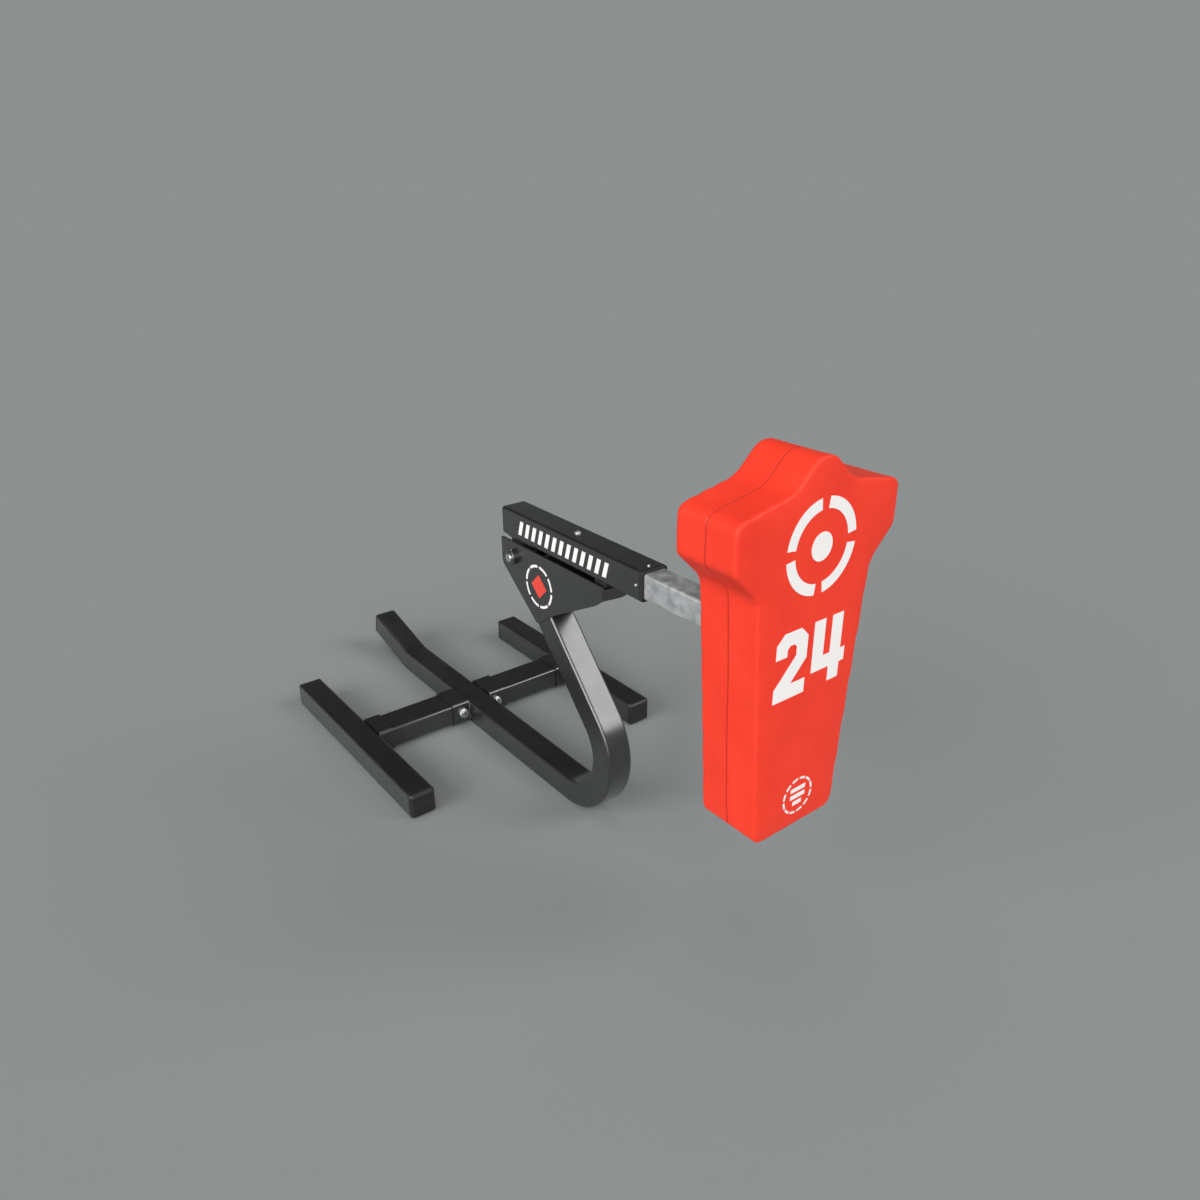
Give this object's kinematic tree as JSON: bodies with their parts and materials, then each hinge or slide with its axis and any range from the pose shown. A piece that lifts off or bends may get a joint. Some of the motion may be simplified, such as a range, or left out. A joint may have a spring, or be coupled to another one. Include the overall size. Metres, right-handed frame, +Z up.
{
  "type": "blocking sled",
  "caption": "One-man blocking sled: bent-tube centre skid with two outrigger skids, a pivoting beam with a sprung sliding arm, and a padded dummy with head and shoulders.",
  "frame": {"origin": "on the ground under the middle of the centre skid, where the two outrigger cross tubes meet it", "axes": "+X forward towards the player who hits the pad, +Y to the sled's left, +Z up"},
  "size_m": [1.9829, 0.8532, 1.171],
  "materials": {
    "black_powder_coat": "satin",
    "galvanised_steel": "satin",
    "zinc_hardware": "satin",
    "pin_steel": "satin",
    "spring_steel": "satin",
    "cap_plastic": "satin",
    "liner_plastic": "matte",
    "bush_plastic": "matte",
    "stop_rubber": "matte",
    "pad_skin": "satin",
    "pad_foam": "matte",
    "board_plywood": "matte"
  },
  "bodies": {
    "frame": {"center_skid": "black_powder_coat", "tail_cap": "cap_plastic", "side_skid_left": "black_powder_coat", "skid_cap_left_front": "cap_plastic", "skid_cap_left_rear": "cap_plastic", "cross_tube_left": "black_powder_coat", "receiver_left": "black_powder_coat", "skid_socket_left": "black_powder_coat", "gusset_plate_left": "black_powder_coat", "pivot_collar_left": "black_powder_coat", "side_skid_right": "black_powder_coat", "skid_cap_right_front": "cap_plastic", "skid_cap_right_rear": "cap_plastic", "cross_tube_right": "black_powder_coat", "receiver_right": "black_powder_coat", "skid_socket_right": "black_powder_coat", "gusset_plate_right": "black_powder_coat", "pivot_collar_right": "black_powder_coat", "outrigger_bolts": "zinc_hardware", "outrigger_nuts": "zinc_hardware", "outrigger_washers": "zinc_hardware", "stop_angle": "black_powder_coat", "stop_bumper": "stop_rubber", "bumper_screws": "zinc_hardware", "pivot_pin": "pin_steel", "collar_screws": "pin_steel"},
    "beam": {"beam_tube": "black_powder_coat", "beam_end_plate": "black_powder_coat", "pivot_hanger": "black_powder_coat", "pivot_bush_left": "bush_plastic", "pivot_bush_right": "bush_plastic", "mouth_liner": "liner_plastic", "liner_screws": "zinc_hardware", "stop_screw": "zinc_hardware", "spring_seat": "spring_steel", "recoil_spring": "spring_steel"},
    "arm": {"arm_tube": "galvanised_steel", "arm_shoe": "liner_plastic", "pad_plate": "galvanised_steel", "plate_rib_upper": "galvanised_steel", "plate_rib_lower": "galvanised_steel", "backing_board": "board_plywood", "pad_core": "pad_foam", "pad_cover_rear": "pad_skin", "pad_cover_front": "pad_skin", "pad_bolts": "zinc_hardware", "pad_washers": "zinc_hardware", "pad_nuts": "zinc_hardware"}
  },
  "joints": [
    {"name": "beam_pivot", "type": "hinge", "parent": "frame", "child": "beam", "pos_m": [0.37, 0, 0.679], "axis": [0, -1, 0], "range_deg": [0, 7]},
    {"name": "arm_recoil", "type": "slide", "parent": "beam", "child": "arm", "axis": [-1, 0, 0], "range_m": [0, 0.11], "stiffness_N_per_m": 6000, "springref_m": -0.03, "deforming": ["recoil_spring"]}
  ]
}
